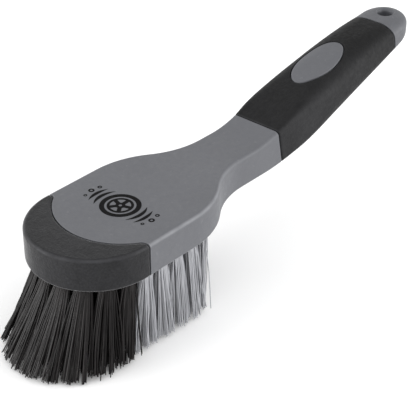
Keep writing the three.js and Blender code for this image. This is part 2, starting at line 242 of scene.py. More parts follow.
class Surface:
    """One procedural material, built node by node."""

    def __init__(self, name, specular=0.5, metallic=0.0):
        self.material = bpy.data.materials.new(name)
        self.material.use_nodes = True
        self.tree = self.material.node_tree
        self.shader = self.tree.nodes["Principled BSDF"]
        self.shader.inputs["Specular IOR Level"].default_value = specular
        self.shader.inputs["Metallic"].default_value = metallic
        self.place = self.node("ShaderNodeTexCoord").outputs["Object"]

    def node(self, kind, settings=None, **inputs):
        made = self.tree.nodes.new(kind)
        for key, value in (settings or {}).items():
            setattr(made, key, value)
        for key, value in inputs.items():
            socket = made.inputs[key.replace("_", " ")]
            self.feed(socket, value)
        return made

    def feed(self, socket, value):
        if isinstance(value, bpy.types.NodeSocket):
            self.tree.links.new(value, socket)
        else:
            socket.default_value = value

    def noise(self, size_mm, detail=2.0, stretch=None):
        """Noise from 0 to 1 whose blotches are about size_mm across, longer along z by stretch."""
        place = self.place
        if stretch:
            scale = (1, 1, 1 / stretch)
            place = self.node("ShaderNodeMapping", Vector=place, Scale=scale).outputs[0]
        made = self.node(
            "ShaderNodeTexNoise", Vector=place, Scale=1 / (size_mm * MM), Detail=detail
        )
        return made.outputs["Fac"]

    def spread(self, value, low, high, start=0.3, end=0.7):
        """Maps start to low and end to high, and holds the value outside that range."""
        made = self.node(
            "ShaderNodeMapRange", Value=value, From_Min=start, From_Max=end, To_Min=low, To_Max=high
        )
        return made.outputs["Result"]

    def blend(self, factor, first, second):
        """The first colour where the factor is 0, and the second where it is 1."""
        made = self.node("ShaderNodeMix", {"data_type": "RGBA"})
        self.feed(made.inputs["Factor"], factor)
        self.feed(made.inputs[6], first)
        self.feed(made.inputs[7], second)
        return made.outputs[2]

    def edges(self, radius_mm):
        """1 along sharp or tightly rounded edges, and 0 elsewhere."""
        rounded = self.node("ShaderNodeBevel", Radius=radius_mm * MM).outputs["Normal"]
        normal = self.node("ShaderNodeNewGeometry").outputs["Normal"]
        dot = self.node("ShaderNodeVectorMath", {"operation": "DOT_PRODUCT"})
        self.tree.links.new(rounded, dot.inputs[0])
        self.tree.links.new(normal, dot.inputs[1])
        return self.spread(dot.outputs["Value"], 1, 0, start=0.8, end=0.995)

    def levelness(self):
        """1 on level faces, 0 on upright ones, and the square of the normal's rise between."""
        normal = self.node("ShaderNodeTexCoord").outputs["Normal"]
        up = self.node("ShaderNodeSeparateXYZ", Vector=normal).outputs["Z"]
        return self.times(up, up)

    def rounded_edges(self):
        """1 where a surface faces halfway between level and upright, 0 on level and upright faces."""
        level = self.levelness()
        rest = self.maths("SUBTRACT", 1, level)
        return self.spread(self.times(level, rest), 0, 1, start=0.03, end=0.25)

    def flanks(self):
        """1 on upright faces, and 0 on level ones."""
        return self.spread(self.levelness(), 1, 0, start=0.35, end=0.8)

    def times_number(self, value, number):
        return self.spread(value, 0, number, start=0, end=1)

    def times(self, first, second):
        return self.maths("MULTIPLY", first, second)

    def maths(self, operation, first, second):
        made = self.node("ShaderNodeMath", {"operation": operation})
        self.feed(made.inputs[0], first)
        self.feed(made.inputs[1], second)
        return made.outputs[0]

    def along(self, start_mm, end_mm):
        """0 up to one distance from the head's front, 1 beyond another, and a soft change between."""
        x = self.node("ShaderNodeSeparateXYZ", Vector=self.place).outputs["X"]
        start, end = HEAD_FRONT + start_mm * MM, HEAD_FRONT + end_mm * MM
        return self.spread(x, 0, 1, start, end)

    def patchy(self, factor, low, high, size_mm):
        """A factor that noise breaks up: it is scaled by low to high."""
        return self.times(factor, self.spread(self.noise(size_mm, 5), low, high))

    def bump(self, layers):
        """Stacks bumps. Each layer is a height from 0 to 1, and what it is worth in millimetres."""
        normal = None
        for height, depth_mm in layers:
            made = self.node("ShaderNodeBump", Height=height, Distance=depth_mm * MM)
            if normal:
                self.tree.links.new(normal, made.inputs["Normal"])
            normal = made.outputs["Normal"]
        self.tree.links.new(normal, self.shader.inputs["Normal"])

    def finish(self, colour, roughness):
        """Wires up the colour and roughness, and returns the material."""
        self.tree.links.new(colour, self.shader.inputs["Base Color"])
        self.tree.links.new(roughness, self.shader.inputs["Roughness"])
        return self.material


def moulded_plastic():
    """Grey plastic with grain and scuffs, painted shade towards the tail, and painted highlights on its
    edges.
    """
    made = Surface("core_plastic", specular=0.3)
    dull, fresh, pits = linear(0x5B5C60), linear(0x626367), linear(0x535458)
    tail, scuffed, wear_and_painted_light, painted_edge_highlight = (
        linear(0x494A4E), linear(0x6E6F73), linear(0x85868A), linear(0x909195)
    )
    grain = made.noise(0.55, 3)
    colour = made.blend(made.spread(made.noise(38, 3), 0, 1), dull, fresh)
    # Painted shade: the plastic darkens towards the tail.
    colour = made.blend(made.times_number(made.along(150, 230), 0.7), colour, tail)
    colour = made.blend(made.spread(made.noise(2.2, 5), 0, 0.6), colour, dull)
    colour = made.blend(made.spread(grain, 0, 0.4), colour, pits)
    # Painted highlight: the head's rounded edges, which face halfway between up and sideways, are
    # lighter.
    head_only = made.spread(made.along(80, 115), 1, 0, start=0, end=1)
    head_edge_highlight = made.times(made.rounded_edges(), head_only)
    colour = made.blend(made.patchy(head_edge_highlight, 0.25, 0.6, 7), colour, painted_edge_highlight)
    # Sharp edges lighter: partly wear, partly a painted highlight.
    colour = made.blend(made.patchy(made.edges(0.7), 0.15, 0.6, 5), colour, wear_and_painted_light)
    scuffs = made.spread(made.noise(2.4, 6), 0, 0.5, start=0.62, end=0.75)
    colour = made.blend(scuffs, colour, scuffed)
    made.bump([(made.noise(24, 2), 0.05), (grain, 0.045)])
    return made.finish(colour, made.spread(made.noise(3, 4), 0.46, 0.58))


def soft_rubber(name, shades, specular, roughness, sheen, painted_rim_highlight, painted_flank_light):
    """Overmoulded rubber with a spark-eroded texture, and painted shade towards the tail.

    The shades are dark, light, and a lighter one for wear and painted light. The last two pairs say
    how far the rounded edges (a painted highlight) and the upright faces (painted light) go towards
    that lighter shade, from the least to the most.
    """
    made = Surface(name, specular=specular)
    made.shader.inputs["Sheen Weight"].default_value = sheen
    made.shader.inputs["Sheen Roughness"].default_value = 0.28
    dark, light, wear_and_painted_light = (linear(shade) for shade in shades)
    tail = linear(0x0A0A0B)
    pores = made.noise(0.9, 4)
    colour = made.blend(made.spread(made.noise(14, 4), 0, 1), dark, light)
    colour = made.blend(made.spread(made.noise(3.1, 6), 0, 0.8), colour, light)
    colour = made.blend(made.spread(pores, 0, 0.75), colour, dark)
    # Painted highlight on the rounded edges.
    colour = made.blend(made.patchy(made.rounded_edges(), *painted_rim_highlight, 9), colour, wear_and_painted_light)
    # Painted light: upright faces are lighter than level ones.
    colour = made.blend(made.patchy(made.flanks(), *painted_flank_light, 11), colour, wear_and_painted_light)
    # Sharp edges lighter: partly wear, partly a painted highlight.
    colour = made.blend(made.patchy(made.edges(0.7), 0.15, 0.7, 3.2), colour, wear_and_painted_light)
    # Painted shade: the rubber darkens towards the tail.
    colour = made.blend(made.times_number(made.along(165, 225), 0.75), colour, tail)
    made.bump([(made.noise(5, 4), 0.22), (pores, 0.14)])
    return made.finish(colour, made.spread(made.noise(2, 4), *roughness))


def filament_plastic(name, dark, light, specular, roughness):
    """Extruded filament: strands of their own shade, a few light as painted glints, and fine draw lines
    along them.
    """
    made = Surface(name, specular=specular)
    strand = made.node("ShaderNodeAttribute", {"attribute_name": "strand"}).outputs["Fac"]
    lines = made.noise(0.12, 3, stretch=60)
    # Each strand's shade is random; squaring it leaves most strands dark and a few light, as painted
    # glints.
    colour = made.blend(made.times(strand, strand), linear(dark), linear(light))
    colour = made.blend(made.spread(lines, 0, 0.25), colour, linear(light))
    made.bump([(lines, 0.012)])
    return made.finish(colour, made.spread(made.noise(0.9, 3, stretch=12), *roughness))


def drawn_steel():
    """Flat drawn wire, with fine lines and a little tarnish."""
    made = Surface("anchor_metal", specular=0.5, metallic=1.0)
    lines = made.noise(0.05, 3, stretch=30)
    colour = made.blend(made.spread(lines, 0, 1), linear(0xA9A69F), linear(0xC9C7C1))
    colour = made.blend(made.spread(made.noise(1.1, 5), 0, 0.4), colour, linear(0x8E8A82))
    made.bump([(lines, 0.006)])
    return made.finish(colour, made.spread(made.noise(0.4, 4), 0.28, 0.5))


def printing_ink():
    """Matt black ink, a little thinner in places."""
    made = Surface("print_ink", specular=0.06)
    thin = made.spread(made.noise(0.5, 5), 0, 0.5, start=0.55, end=0.8)
    colour = made.blend(thin, linear(0x080708), linear(0x131213))
    made.bump([(made.noise(0.35, 4), 0.01)])
    return made.finish(colour, made.spread(made.noise(1.2, 4), 0.5, 0.66))


def floor_paper():
    made = Surface("floor_paper", specular=0.1)
    colour = made.blend(made.noise(400, 2), linear(0xFAFAFA), linear(0xFDFDFD))
    return made.finish(colour, made.spread(made.noise(60, 2), 0.85, 0.95))


# ---- Meshes ----


def mesh_object(name, points, faces, sharp_degrees=SHARP_DEGREES):
    """An object whose points are drawn in millimetres. Doubled points are merged."""
    mesh = bpy.data.meshes.new(name)
    placed = [(HEAD_FRONT + x * MM, y * MM, TIP_LEVEL + z * MM) for x, y, z in points]
    mesh.from_pydata(placed, [], faces)
    weld(mesh)
    smooth(mesh, sharp_degrees)
    return add_object(name, mesh)


def weld(mesh):
    """Merges doubled points, and turns all faces outwards."""
    work = bmesh.new()
    work.from_mesh(mesh)
    bmesh.ops.remove_doubles(work, verts=work.verts, dist=WELD_DISTANCE)
    bmesh.ops.recalc_face_normals(work, faces=work.faces)
    work.to_mesh(mesh)
    work.free()


def smooth(mesh, sharp_degrees=SHARP_DEGREES):
    mesh.polygons.foreach_set("use_smooth", [True] * len(mesh.polygons))
    mesh.set_sharp_from_angle(angle=math.radians(sharp_degrees))


def combine(piece, other, operation):
    """Joins other to piece or cuts it away, and removes other."""
    modifier = piece.modifiers.new("combine", "BOOLEAN")
    modifier.operation = operation
    modifier.solver = "MANIFOLD"
    modifier.object = other
    depsgraph = bpy.context.evaluated_depsgraph_get()
    made = bpy.data.meshes.new_from_object(piece.evaluated_get(depsgraph))
    piece.modifiers.clear()
    piece.data = made
    bpy.data.objects.remove(other)


def ring_faces(rings, count, closed):
    """Quads between rings of count points each, which follow each other and may close in a loop."""
    faces = []
    for r in range(rings if closed else rings - 1):
        following = (r + 1) % rings
        for i in range(count):
            j = (i + 1) % count
            faces.append((
                r * count + i, r * count + j, following * count + j, following * count + i,
            ))
    return faces


def capped_faces(rings, count, first=0):
    """The side and both ends of a closed body made of rings, whose points start at first."""
    faces = [tuple(first + i for i in face) for face in ring_faces(rings, count, False)]
    last_ring = first + (rings - 1) * count
    faces.append(tuple(range(first + count - 1, first - 1, -1)))
    faces.append(tuple(range(last_ring, last_ring + count)))
    return faces


def lofted(name, rings, closed=False, sharp_degrees=SHARP_DEGREES):
    """A body through rings of points, which close in a loop or have a cap at both ends."""
    points = [point for ring in rings for point in ring]
    count = len(rings[0])
    faces = ring_faces(len(rings), count, True) if closed else capped_faces(len(rings), count)
    return mesh_object(name, points, faces, sharp_degrees)


def circle_points(x, y, radius, sides):
    turns = [2 * math.pi * i / sides for i in range(sides)]
    return [(x + radius * math.cos(turn), y + radius * math.sin(turn)) for turn in turns]


# ---- The moulded outside shape ----


def lerp(a, b, t):
    return a + (b - a) * t


def handle_value(x, key):
    """A smooth curve through one column of HANDLE, level with the neck before its first row."""
    column = HANDLE[key]
    if x <= HANDLE_X[0]:
        return column[0]
    last = len(HANDLE_X) - 1
    i = next((k for k in range(last) if HANDLE_X[k + 1] >= x), last - 1)

    def slope(j):
        if j == 0:
            return 0
        after = min(j + 1, last)
        return (column[after] - column[j - 1]) / (HANDLE_X[after] - HANDLE_X[j - 1])

    step = HANDLE_X[i + 1] - HANDLE_X[i]
    t = min((x - HANDLE_X[i]) / step, 1)
    rise = t * t * (3 - 2 * t)
    leave = t * (1 - t) * (1 - t) * step * slope(i)
    arrive = t * t * (1 - t) * step * slope(i + 1)
    return lerp(column[i], column[i + 1], rise) + leave - arrive


def half_width(x):
    if x <= SHOULDER_START:
        return NOSE_RADIUS
    if x >= NECK_START:
        return handle_value(x, "half")
    before = x < SHOULDER_START + SHOULDER_HALF
    run = x - SHOULDER_START if before else NECK_START - x
    drop = SHOULDER_RADIUS - math.sqrt(SHOULDER_RADIUS**2 - run**2)
    return NOSE_RADIUS - drop if before else NECK_HALF + drop


EDGE_STEPS = 16
FLAT_SHARES = (0, 0.3, 0.6, 0.85, 0.97)
# Points of half a section, from the top's centre line round to the underside's: the part of the
# section that a point lies on, and how far along that part it is.
SECTION = (
    [("top", share) for share in FLAT_SHARES]
    + [("top_arc", i / EDGE_STEPS) for i in range(EDGE_STEPS + 1)]
    + [("wall", share) for share in (0.1, 0.5, 0.9)]
    + [("under_arc", i / EDGE_STEPS) for i in range(EDGE_STEPS + 1)]
    + [("under", share) for share in reversed(FLAT_SHARES)]
)


def section_point(spoke, where, inset):
    """A point on the hull moved inwards by inset: along one spoke, at one of SECTION's places."""
    x, reach, dx, dy = spoke
    part, share = where
    out = reach - inset
    roundness = handle_value(x, "round")
    top_edge = max(TOP_EDGE - inset, LEAST_EDGE)
    under_edge = max(BOTTOM_EDGE - inset, LEAST_EDGE)
    top_width, under_width = lerp(top_edge, out, roundness), lerp(under_edge, out, roundness)
    turn = share * math.pi / 2
    along = {
        "top": (out - top_width) * share,
        "top_arc": out - top_width * (1 - math.sin(turn)),
        "wall": out,
        "under_arc": out - under_width * (1 - math.cos(turn)),
        "under": (out - under_width) * share,
    }[part]
    px = x + dx * along
    top = HEAD_TOP + handle_value(px, "top") - inset
    # The underside moves in too: insets are only used under the grip, which wraps all round.
    under = BRISTLE_FACE + handle_value(px, "under") + inset
    half = (top - under) / 2
    top_rise, under_rise = lerp(top_edge, half, roundness), lerp(under_edge, half, roundness)
    wall_top, wall_foot = top - top_rise, under + under_rise
    z = {
        "top": top,
        "top_arc": wall_top + top_rise * math.cos(turn),
        "wall": lerp(wall_top, wall_foot, share),
        "under_arc": wall_foot - under_rise * math.sin(turn),
        "under": under,
    }[part]
    return px, dy * along, z


def leaning_section(top_x, lean, inset):
    """Half a section in a plane that leans back below the point at top_x on the top's centre line."""
    top_z = HEAD_TOP + handle_value(top_x, "top")
    points = []
    for where in SECTION:
        x = top_x
        for _ in range(LEAN_ROUNDS):
            z = section_point((x, half_width(x), 0, 1), where, inset)[2]
            x = top_x + math.tan(lean) * (top_z - z)
        points.append(section_point((x, half_width(x), 0, 1), where, inset))
    return points


def lean_at(top_x):
    """How far a section leans: from nothing on the neck to the grip's ends, and upright at the tail."""
    if top_x <= GRIP_START:
        share = max((top_x - LEAN_BEGINS) / (GRIP_START - LEAN_BEGINS), 0)
        return GRIP_START_LEAN * share * share * (3 - 2 * share)
    if top_x <= GRIP_END:
        return lerp(GRIP_START_LEAN, GRIP_END_LEAN, (top_x - GRIP_START) / (GRIP_END - GRIP_START))
    return GRIP_END_LEAN * (1 - (top_x - GRIP_END) / (TAIL_CENTRE - GRIP_END))


def evenly(start, end, steps):
    """The values after start, in equal steps, up to end."""
    return [lerp(start, end, (i + 1) / steps) for i in range(steps)]


def fan(centre, radius, start_degrees, end_degrees, steps):
    """Spokes round a quarter of the nose or the tail: centre, reach and direction in plan."""
    angles = [math.radians(lerp(start_degrees, end_degrees, i / steps)) for i in range(steps + 1)]
    return [(centre, radius, math.cos(angle), math.sin(angle)) for angle in angles]


def rounded_rim(edge, direction, radius, steps=4):
    """Places along the handle and insets over a rounded rim, from the surface to the edge's wall."""
    turns = [math.pi / 2 * i / steps for i in range(steps + 1)]
    return [
        (edge - direction * radius * (1 - math.sin(t)), radius * (1 - math.cos(t))) for t in turns
    ]


def core_blank():
    """The core before it is cut: the whole hull, recessed by the grip's thickness under the grip."""
    spokes = fan(NOSE_RADIUS, NOSE_RADIUS, 180, 90, 48)
    straight = evenly(NOSE_RADIUS, SHOULDER_START, 8)
    shoulder = evenly(SHOULDER_START, NECK_START, 40)
    spokes += [(x, half_width(x), 0, 1) for x in straight + shoulder]
    sections = [[section_point(spoke, where, 0) for where in SECTION] for spoke in spokes]
    stations = [(x, 0) for x in evenly(NECK_START, GRIP_START - CORE_RIM, 22)[:-1]]
    stations += rounded_rim(GRIP_START, 1, CORE_RIM)
    stations += [(x, SKIN) for x in [GRIP_START] + evenly(GRIP_START, GRIP_END, 60)]
    stations += reversed(rounded_rim(GRIP_END, -1, CORE_RIM))
    stations += [(x, 0) for x in evenly(GRIP_END + CORE_RIM, TAIL_CENTRE, 10)[:-1]]
    sections += [leaning_section(x, lean_at(x), inset) for x, inset in stations]
    tail = fan(TAIL_CENTRE, TAIL_RADIUS, 90, 0, 32)
    sections += [[section_point(spoke, where, 0) for where in SECTION] for spoke in tail]
    mirrored = [[(x, -y, z) for x, y, z in section] for section in reversed(sections[1:-1])]
    rows = sections + mirrored
    points = [point for row in rows for point in row]
    count = len(SECTION)
    faces = []
    for r in range(len(rows)):
        here, following = r * count, (r + 1) % len(rows) * count
        for i in range(count - 1):
            faces.append((here + i, following + i, following + i + 1, here + i + 1))
    return mesh_object("body", points, faces)


def hull_top(x, y):
    """The height of the hull's top over a point in plan, on the handle."""
    out = half_width(x)
    roundness = handle_value(x, "round")
    top = HEAD_TOP + handle_value(x, "top")
    under = BRISTLE_FACE + handle_value(x, "under")
    width = lerp(TOP_EDGE, out, roundness)
    rise = lerp(TOP_EDGE, (top - under) / 2, roundness)
    beyond = max(abs(y) - (out - width), 0) / width
    return top - rise * (1 - math.sqrt(max(1 - beyond * beyond, 0)))


def window_body(name, levels):
    """An oval body over the handle. Each level has the oval's growth, its scale and its depth."""
    rings = []
    for growth, scale, depth in levels:
        ring = []
        for along, across in circle_points(0, 0, 1, 96):
            x = WINDOW_X + (WINDOW_HALF_LENGTH + growth) * scale * along
            y = (WINDOW_HALF_WIDTH + growth) * scale * across
            ring.append((x, y, hull_top(x, y) - depth))
        rings.append(ring)
    return lofted(name, rings)


def window_boss():
    """The oval of core that fills the grip's window, flush with the grip and with a softened rim."""
    sunk = 1.2
    levels = [(-GAP, 1, SKIN + sunk), (-GAP, 1, WINDOW_RIM)]
    for turn in (math.pi / 6, math.pi / 3, math.pi / 2):
        growth = -GAP - WINDOW_RIM * (1 - math.cos(turn))
        levels.append((growth, 1, WINDOW_RIM * (1 - math.sin(turn))))
    levels += [(-GAP - WINDOW_RIM, scale, 0) for scale in (0.95, *CROWN_SCALES)]
    return window_body("boss", levels)


def window_cutter():
    """The opening in the grip, flared where it meets the grip's surface."""
    sunk = 3
    levels = [(0, 1, SKIN + sunk), (0, 1, WINDOW_RIM)]
    levels += [(WINDOW_RIM + CUT_PAST, scale, -CUT_PAST) for scale in (1, *CROWN_SCALES)]
    return window_body("opening", levels)


def hang_hole():
    """The hang hole's bore, with a rounded flare at both mouths."""
    top = HEAD_TOP + handle_value(HANG_HOLE_X, "top")
    under = BRISTLE_FACE + handle_value(HANG_HOLE_X, "under")
    flare = HANG_HOLE_FLARE
    mouth = []
    for degrees in (64, 48, 32, 16, 0):
        turn = math.radians(degrees)
        radius = HANG_HOLE_RADIUS + flare * (1 - math.cos(turn))
        mouth.append((radius, flare * (1 - math.sin(turn))))
    outermost, beyond = mouth[0][0] + 2, 1.2
    lower = [(outermost, under - beyond)] + [(radius, under + depth) for radius, depth in mouth]
    upper = [(radius, top - depth) for radius, depth in reversed(mouth)] + [(outermost, top + beyond)]
    rings = []
    for radius, z in lower + upper:
        rings.append([(x, y, z) for x, y in circle_points(HANG_HOLE_X, 0, radius, 64)])
    return lofted("bore", rings)


# ---- Front bumper ----


def bumper_edge_x(y, gap):
    """The bumper's back edge in plan: an arc, a quick curve through the corner, and a square side."""
    y = abs(y)
    radius, back = BUMPER_ARC_RADIUS + gap, BUMPER_BACK - gap
    if y <= BUMPER_CORNER_Y:
        return BUMPER_ARC_CENTRE - math.sqrt(radius**2 - y**2)
    if y >= BUMPER_SIDE_Y:
        return back
    angle = math.asin(BUMPER_CORNER_Y / radius)
    arc_x = BUMPER_ARC_CENTRE - radius * math.cos(angle)
    control = BUMPER_CORNER_Y + (back - arc_x) / math.tan(angle)
    a = BUMPER_CORNER_Y - 2 * control + BUMPER_SIDE_Y
    b = 2 * (control - BUMPER_SIDE_Y)
    c = BUMPER_SIDE_Y - y
    w = (-b - math.sqrt(max(b * b - 4 * a * c, 0))) / (2 * a) if abs(a) > 1e-9 else -c / b
    return back - (back - arc_x) * w * w


def edge_reach(spoke, gap):
    """How far out along a spoke the bumper begins."""
    x, reach, dx, dy = spoke
    low, high = 0, reach
    for _ in range(BISECTIONS):
        middle = (low + high) / 2
        if x + dx * middle > bumper_edge_x(dy * middle, gap):
            low = middle
        else:
            high = middle
    return high


def head_run(spoke, run):
    """The point and outward normal at a length run along a head section, in the spoke's plane."""
    reach = spoke[1]
    flat = reach - TOP_EDGE
    arc = TOP_EDGE * math.pi / 2
    wall = HEAD_TOP - BRISTLE_FACE - TOP_EDGE - BOTTOM_EDGE
    if run <= flat:
        return (run, HEAD_TOP), (0, 1)
    run -= flat
    if run <= arc:
        s, c = math.sin(run / TOP_EDGE), math.cos(run / TOP_EDGE)
        return (flat + TOP_EDGE * s, HEAD_TOP - TOP_EDGE * (1 - c)), (s, c)
    run -= arc
    if run <= wall:
        return (reach, HEAD_TOP - TOP_EDGE - run), (1, 0)
    turn = min((run - wall) / BOTTOM_EDGE, math.pi / 2)
    s, c = math.sin(turn), math.cos(turn)
    return (reach - BOTTOM_EDGE * (1 - c), BRISTLE_FACE + BOTTOM_EDGE * (1 - s)), (c, -s)


def bumper_loop(spoke, gap, outer, inner, foot, edge_curve):
    """One closed section of the bumper, or of the cutter that makes room for it.

    Its two faces lie outer and inner millimetres under the hull, and it ends at foot's height. The
    outer face sinks into a rounded rim near edge_curve, if there is one.
    """
    x, reach, dx, dy = spoke
    begin = edge_reach(spoke, gap)
    flat = reach - TOP_EDGE
    if begin > flat:
        begin = flat + TOP_EDGE * math.asin(min((begin - flat) / TOP_EDGE, 1))
    arc_end = flat + TOP_EDGE * math.pi / 2
    wall_end = arc_end + HEAD_TOP - BRISTLE_FACE - TOP_EDGE - BOTTOM_EDGE
    runs = [begin + RIM * share for share in (*RIM_SHARES, RIM_CLEAR)]
    clear = runs[-1]
    targets = [lerp(clear, flat, s) for s in (0.15, 0.4, 0.7, 0.9, 0.97)]
    targets += [lerp(flat, arc_end, i / 12) for i in range(13)]
    targets += [lerp(arc_end, wall_end, s) for s in (0.04, 0.2, 0.5, 0.8, 0.96)]
    for i, target in enumerate(targets):
        runs.append(max(target, clear + 0.01 * (i + 1)))
    runs += [lerp(wall_end, wall_end + BOTTOM_EDGE * math.pi / 2, i / 8) for i in range(9)]
    loop = []
    for run in runs:
        (along, z), (out, up) = head_run(spoke, run)
        here = np.array((x + dx * along, abs(dy * along)))
        away = np.sqrt(((edge_curve - here) ** 2).sum(1)).min() if edge_curve is not None else RIM
        near = max(RIM - away, 0)
        inset = outer + RIM - math.sqrt(RIM * RIM - near * near)
        loop.append((x + dx * (along - out * inset), dy * (along - out * inset), z - up * inset))
    last = reach - outer - BOTTOM_EDGE
    loop[-1] = (x + dx * last, dy * last, foot)
    loop.append((x + dx * (reach - inner), dy * (reach - inner), foot))
    for run in reversed([r for r in runs if r <= wall_end]):
        (along, z), (out, up) = head_run(spoke, run)
        loop.append((x + dx * (along - out * inner), dy * (along - out * inner), z - up * inner))
    return loop


def bumper_body(name, gap, outer, inner, foot, rounded):
    """The bumper, or its cutter, from one side of the head round the nose to the other."""
    back = BUMPER_BACK - gap
    edge_curve = None
    if rounded:
        reaches = [lerp(0, BUMPER_SIDE_Y + 2, i / EDGE_SAMPLES) for i in range(EDGE_SAMPLES + 1)]
        edge_curve = np.array([(bumper_edge_x(y, gap), y) for y in reaches])
    spokes = fan(NOSE_RADIUS, NOSE_RADIUS, 180, 90, 64)
    ends = evenly(NOSE_RADIUS, back - RIM_CLEAR * RIM, 5)
    ends += [back - RIM * share for share in reversed(RIM_SHARES)]
    spokes += [(x, NOSE_RADIUS, 0, 1) for x in ends]
    half = [bumper_loop(spoke, gap, outer, inner, foot, edge_curve) for spoke in spokes]
    mirrored = [[(x, -y, z) for x, y, z in loop] for loop in half[1:]]
    return lofted(name, list(reversed(mirrored)) + half)


# ---- Grip ----


def grip_body():
    """The grip sleeve: its outer face from end to end, and back along its inner face."""
    start, end = GRIP_START + GAP, GRIP_END - GAP
    skin = SKIN - GAP
    stations = [(start, skin)] + list(reversed(rounded_rim(start, -1, RIM, 5)))
    stations += [(x, 0) for x in evenly(start + RIM, end - RIM, 90)[:-1]]
    stations += rounded_rim(end, 1, RIM, 5)
    stations += [(end, skin)] + [(x, skin) for x in evenly(end, start, 40)[:-1]]
    rings = []
    for x, inset in stations:
        half = leaning_section(x, lean_at(x), inset)
        rings.append(half + [(px, -py, pz) for px, py, pz in reversed(half[1:-1])])
    return lofted("grip", rings, closed=True)


# ---- Tufts ----


def stance_of(x, y):
    """A tuft's way out from the head's spine, its tips' lean, and how much the splay widens them."""
    out = Vector((min(x - NOSE_RADIUS, 0), y))
    distance = out.length
    if distance == 0:
        return Vector((0, 1)), 0, 1
    out = out / distance
    lean = distance / (OUTER_ROW * ROW_SPACING) * (SIDE_SPLAY + FRONT_SPLAY * out.x**2)
    return out, lean, 1 + lean / distance


def slant_of(x, y):
    """How far a tuft's axis moves sideways for each millimetre that it goes down."""
    out, lean, _ = stance_of(x, y)
    return out * lean / BRISTLE_FACE


def tuft_roots():
    """Every tuft's root and tip reach, with mirror images, in the CAD model's order."""
    roots = []

    def add(x, y, tip_reach):
        roots.append((x, y, tip_reach))
        if y > 0.01:
            roots.append((x, -y, tip_reach))

    for row, arc_degrees, arc_tip_reach, first_x, columns in ROWS:
        reach = row * ROW_SPACING
        for degrees in arc_degrees:
            angle = math.radians(degrees)
            add(NOSE_RADIUS - reach * math.cos(angle), reach * math.sin(angle), arc_tip_reach)
        for i in range(columns):
            add(first_x + i * ALONG_PITCH, reach, LINE_TIP_REACH)
    add(*REAR_CORNER_TUFT)
    return roots


def tuft_holes(roots):
    """All the blind holes as one cutter, each leaning with its tuft and chamfered at its mouth."""
    sides = 32
    levels = (
        (BRISTLE_FACE - CUT_PAST, HOLE_RADIUS + HOLE_CHAMFER + CUT_PAST),
        (BRISTLE_FACE + HOLE_CHAMFER, HOLE_RADIUS),
        (BRISTLE_FACE + HOLE_DEPTH, HOLE_RADIUS),
    )
    points, faces = [], []
    for x, y, _ in roots:
        slant = slant_of(x, y)
        first = len(points)
        for z, radius in levels:
            down = BRISTLE_FACE - z
            ring = circle_points(x + slant.x * down, y + slant.y * down, radius, sides)
            points += [(px, py, z) for px, py in ring]
        faces += capped_faces(len(levels), sides, first)
    return mesh_object("holes", points, faces)


def half_disc_places(count, reach, draw):
    """Places spread over the half of a hole that lies on one side of the anchor."""
    places = []
    turn = math.pi * (3 - math.sqrt(5))
    i = 0
    while len(places) < count:
        radius = reach * math.sqrt((i + 0.5) / (2 * count + 3))
        along, away = radius * math.cos(turn * i), radius * math.sin(turn * i)
        i += 1
        if away > 0:
            jitter = draw.uniform(-PLACE_JITTER, PLACE_JITTER)
            places.append((along, max(away, BESIDE_ANCHOR) + jitter))
    return places


def tip_place(place, root):
    """Where a filament's tip goes, as an offset from its root's centre, if it fans out evenly."""
    x, y, tip_reach = root
    out, lean, widen = stance_of(x, y)
    along = Vector((-out.y, out.x))
    spot = Vector(place) / ROOT_REACH * widen * TIP_OVERLAP
    return out * (lean + spot.dot(out) * TIP_DEPTH) + along * (spot.dot(along) * tip_reach)


def within_outline(spot, share, give):
    """A place in plan, pulled inside the brush's outline there: share is 0 at roots and 1 at tips."""
    out = Vector((min(spot.x - NOSE_RADIUS, 0), spot.y))
    reach = out.length
    front = abs(out.x) / max(reach, 0.001)
    tips = TIPS_SIDE + (TIPS_FRONT - TIPS_SIDE) * front**OUTLINE_TURN
    roots = lerp(ROOTS_REACH, ROOTS_REACH_FRONT, front)
    limit = lerp(roots, tips, share**OUTLINE_DROP) - give
    if reach > limit:
        spot = spot - out * (1 - limit / reach)
    return Vector((min(spot.x, lerp(ROOTS_REAR_X, TIPS_REAR_X, share) - give), spot.y))


def flared_tip(place, root, give):
    """Where a filament's tip goes, as an offset from its root's centre, once the tuft has flared."""
    centre = Vector(root[:2])
    out, lean, _ = stance_of(*centre)
    flare = out * (TIP_FLARE * lean / (SIDE_SPLAY + FRONT_SPLAY) * out.x**2)
    flare.x -= TIP_SWEEP * min(max((SWEEP_FROM_X - centre.x) / SWEEP_RUN, 0), 1)
    return within_outline(centre + tip_place(place, root) + flare, 1, give) - centre


def tip_clumps(root, draw):
    """Places and lifts of the points that a used tuft's tips gather into."""
    clumps = []
    for _ in range(TIP_CLUMPS):
        turn, reach = draw.uniform(0, 2 * math.pi), ROOT_REACH * math.sqrt(draw.random())
        place = (reach * math.cos(turn), reach * math.sin(turn))
        give, lift = abs(draw.gauss(0, CLUMP_GIVE)), draw.uniform(0, CLUMP_LIFT)
        clumps.append((flared_tip(place, root, give), lift))
    return clumps


def scattered(draw, reach):
    """A random offset in plan."""
    return Vector((draw.gauss(0, reach), draw.gauss(0, reach)))


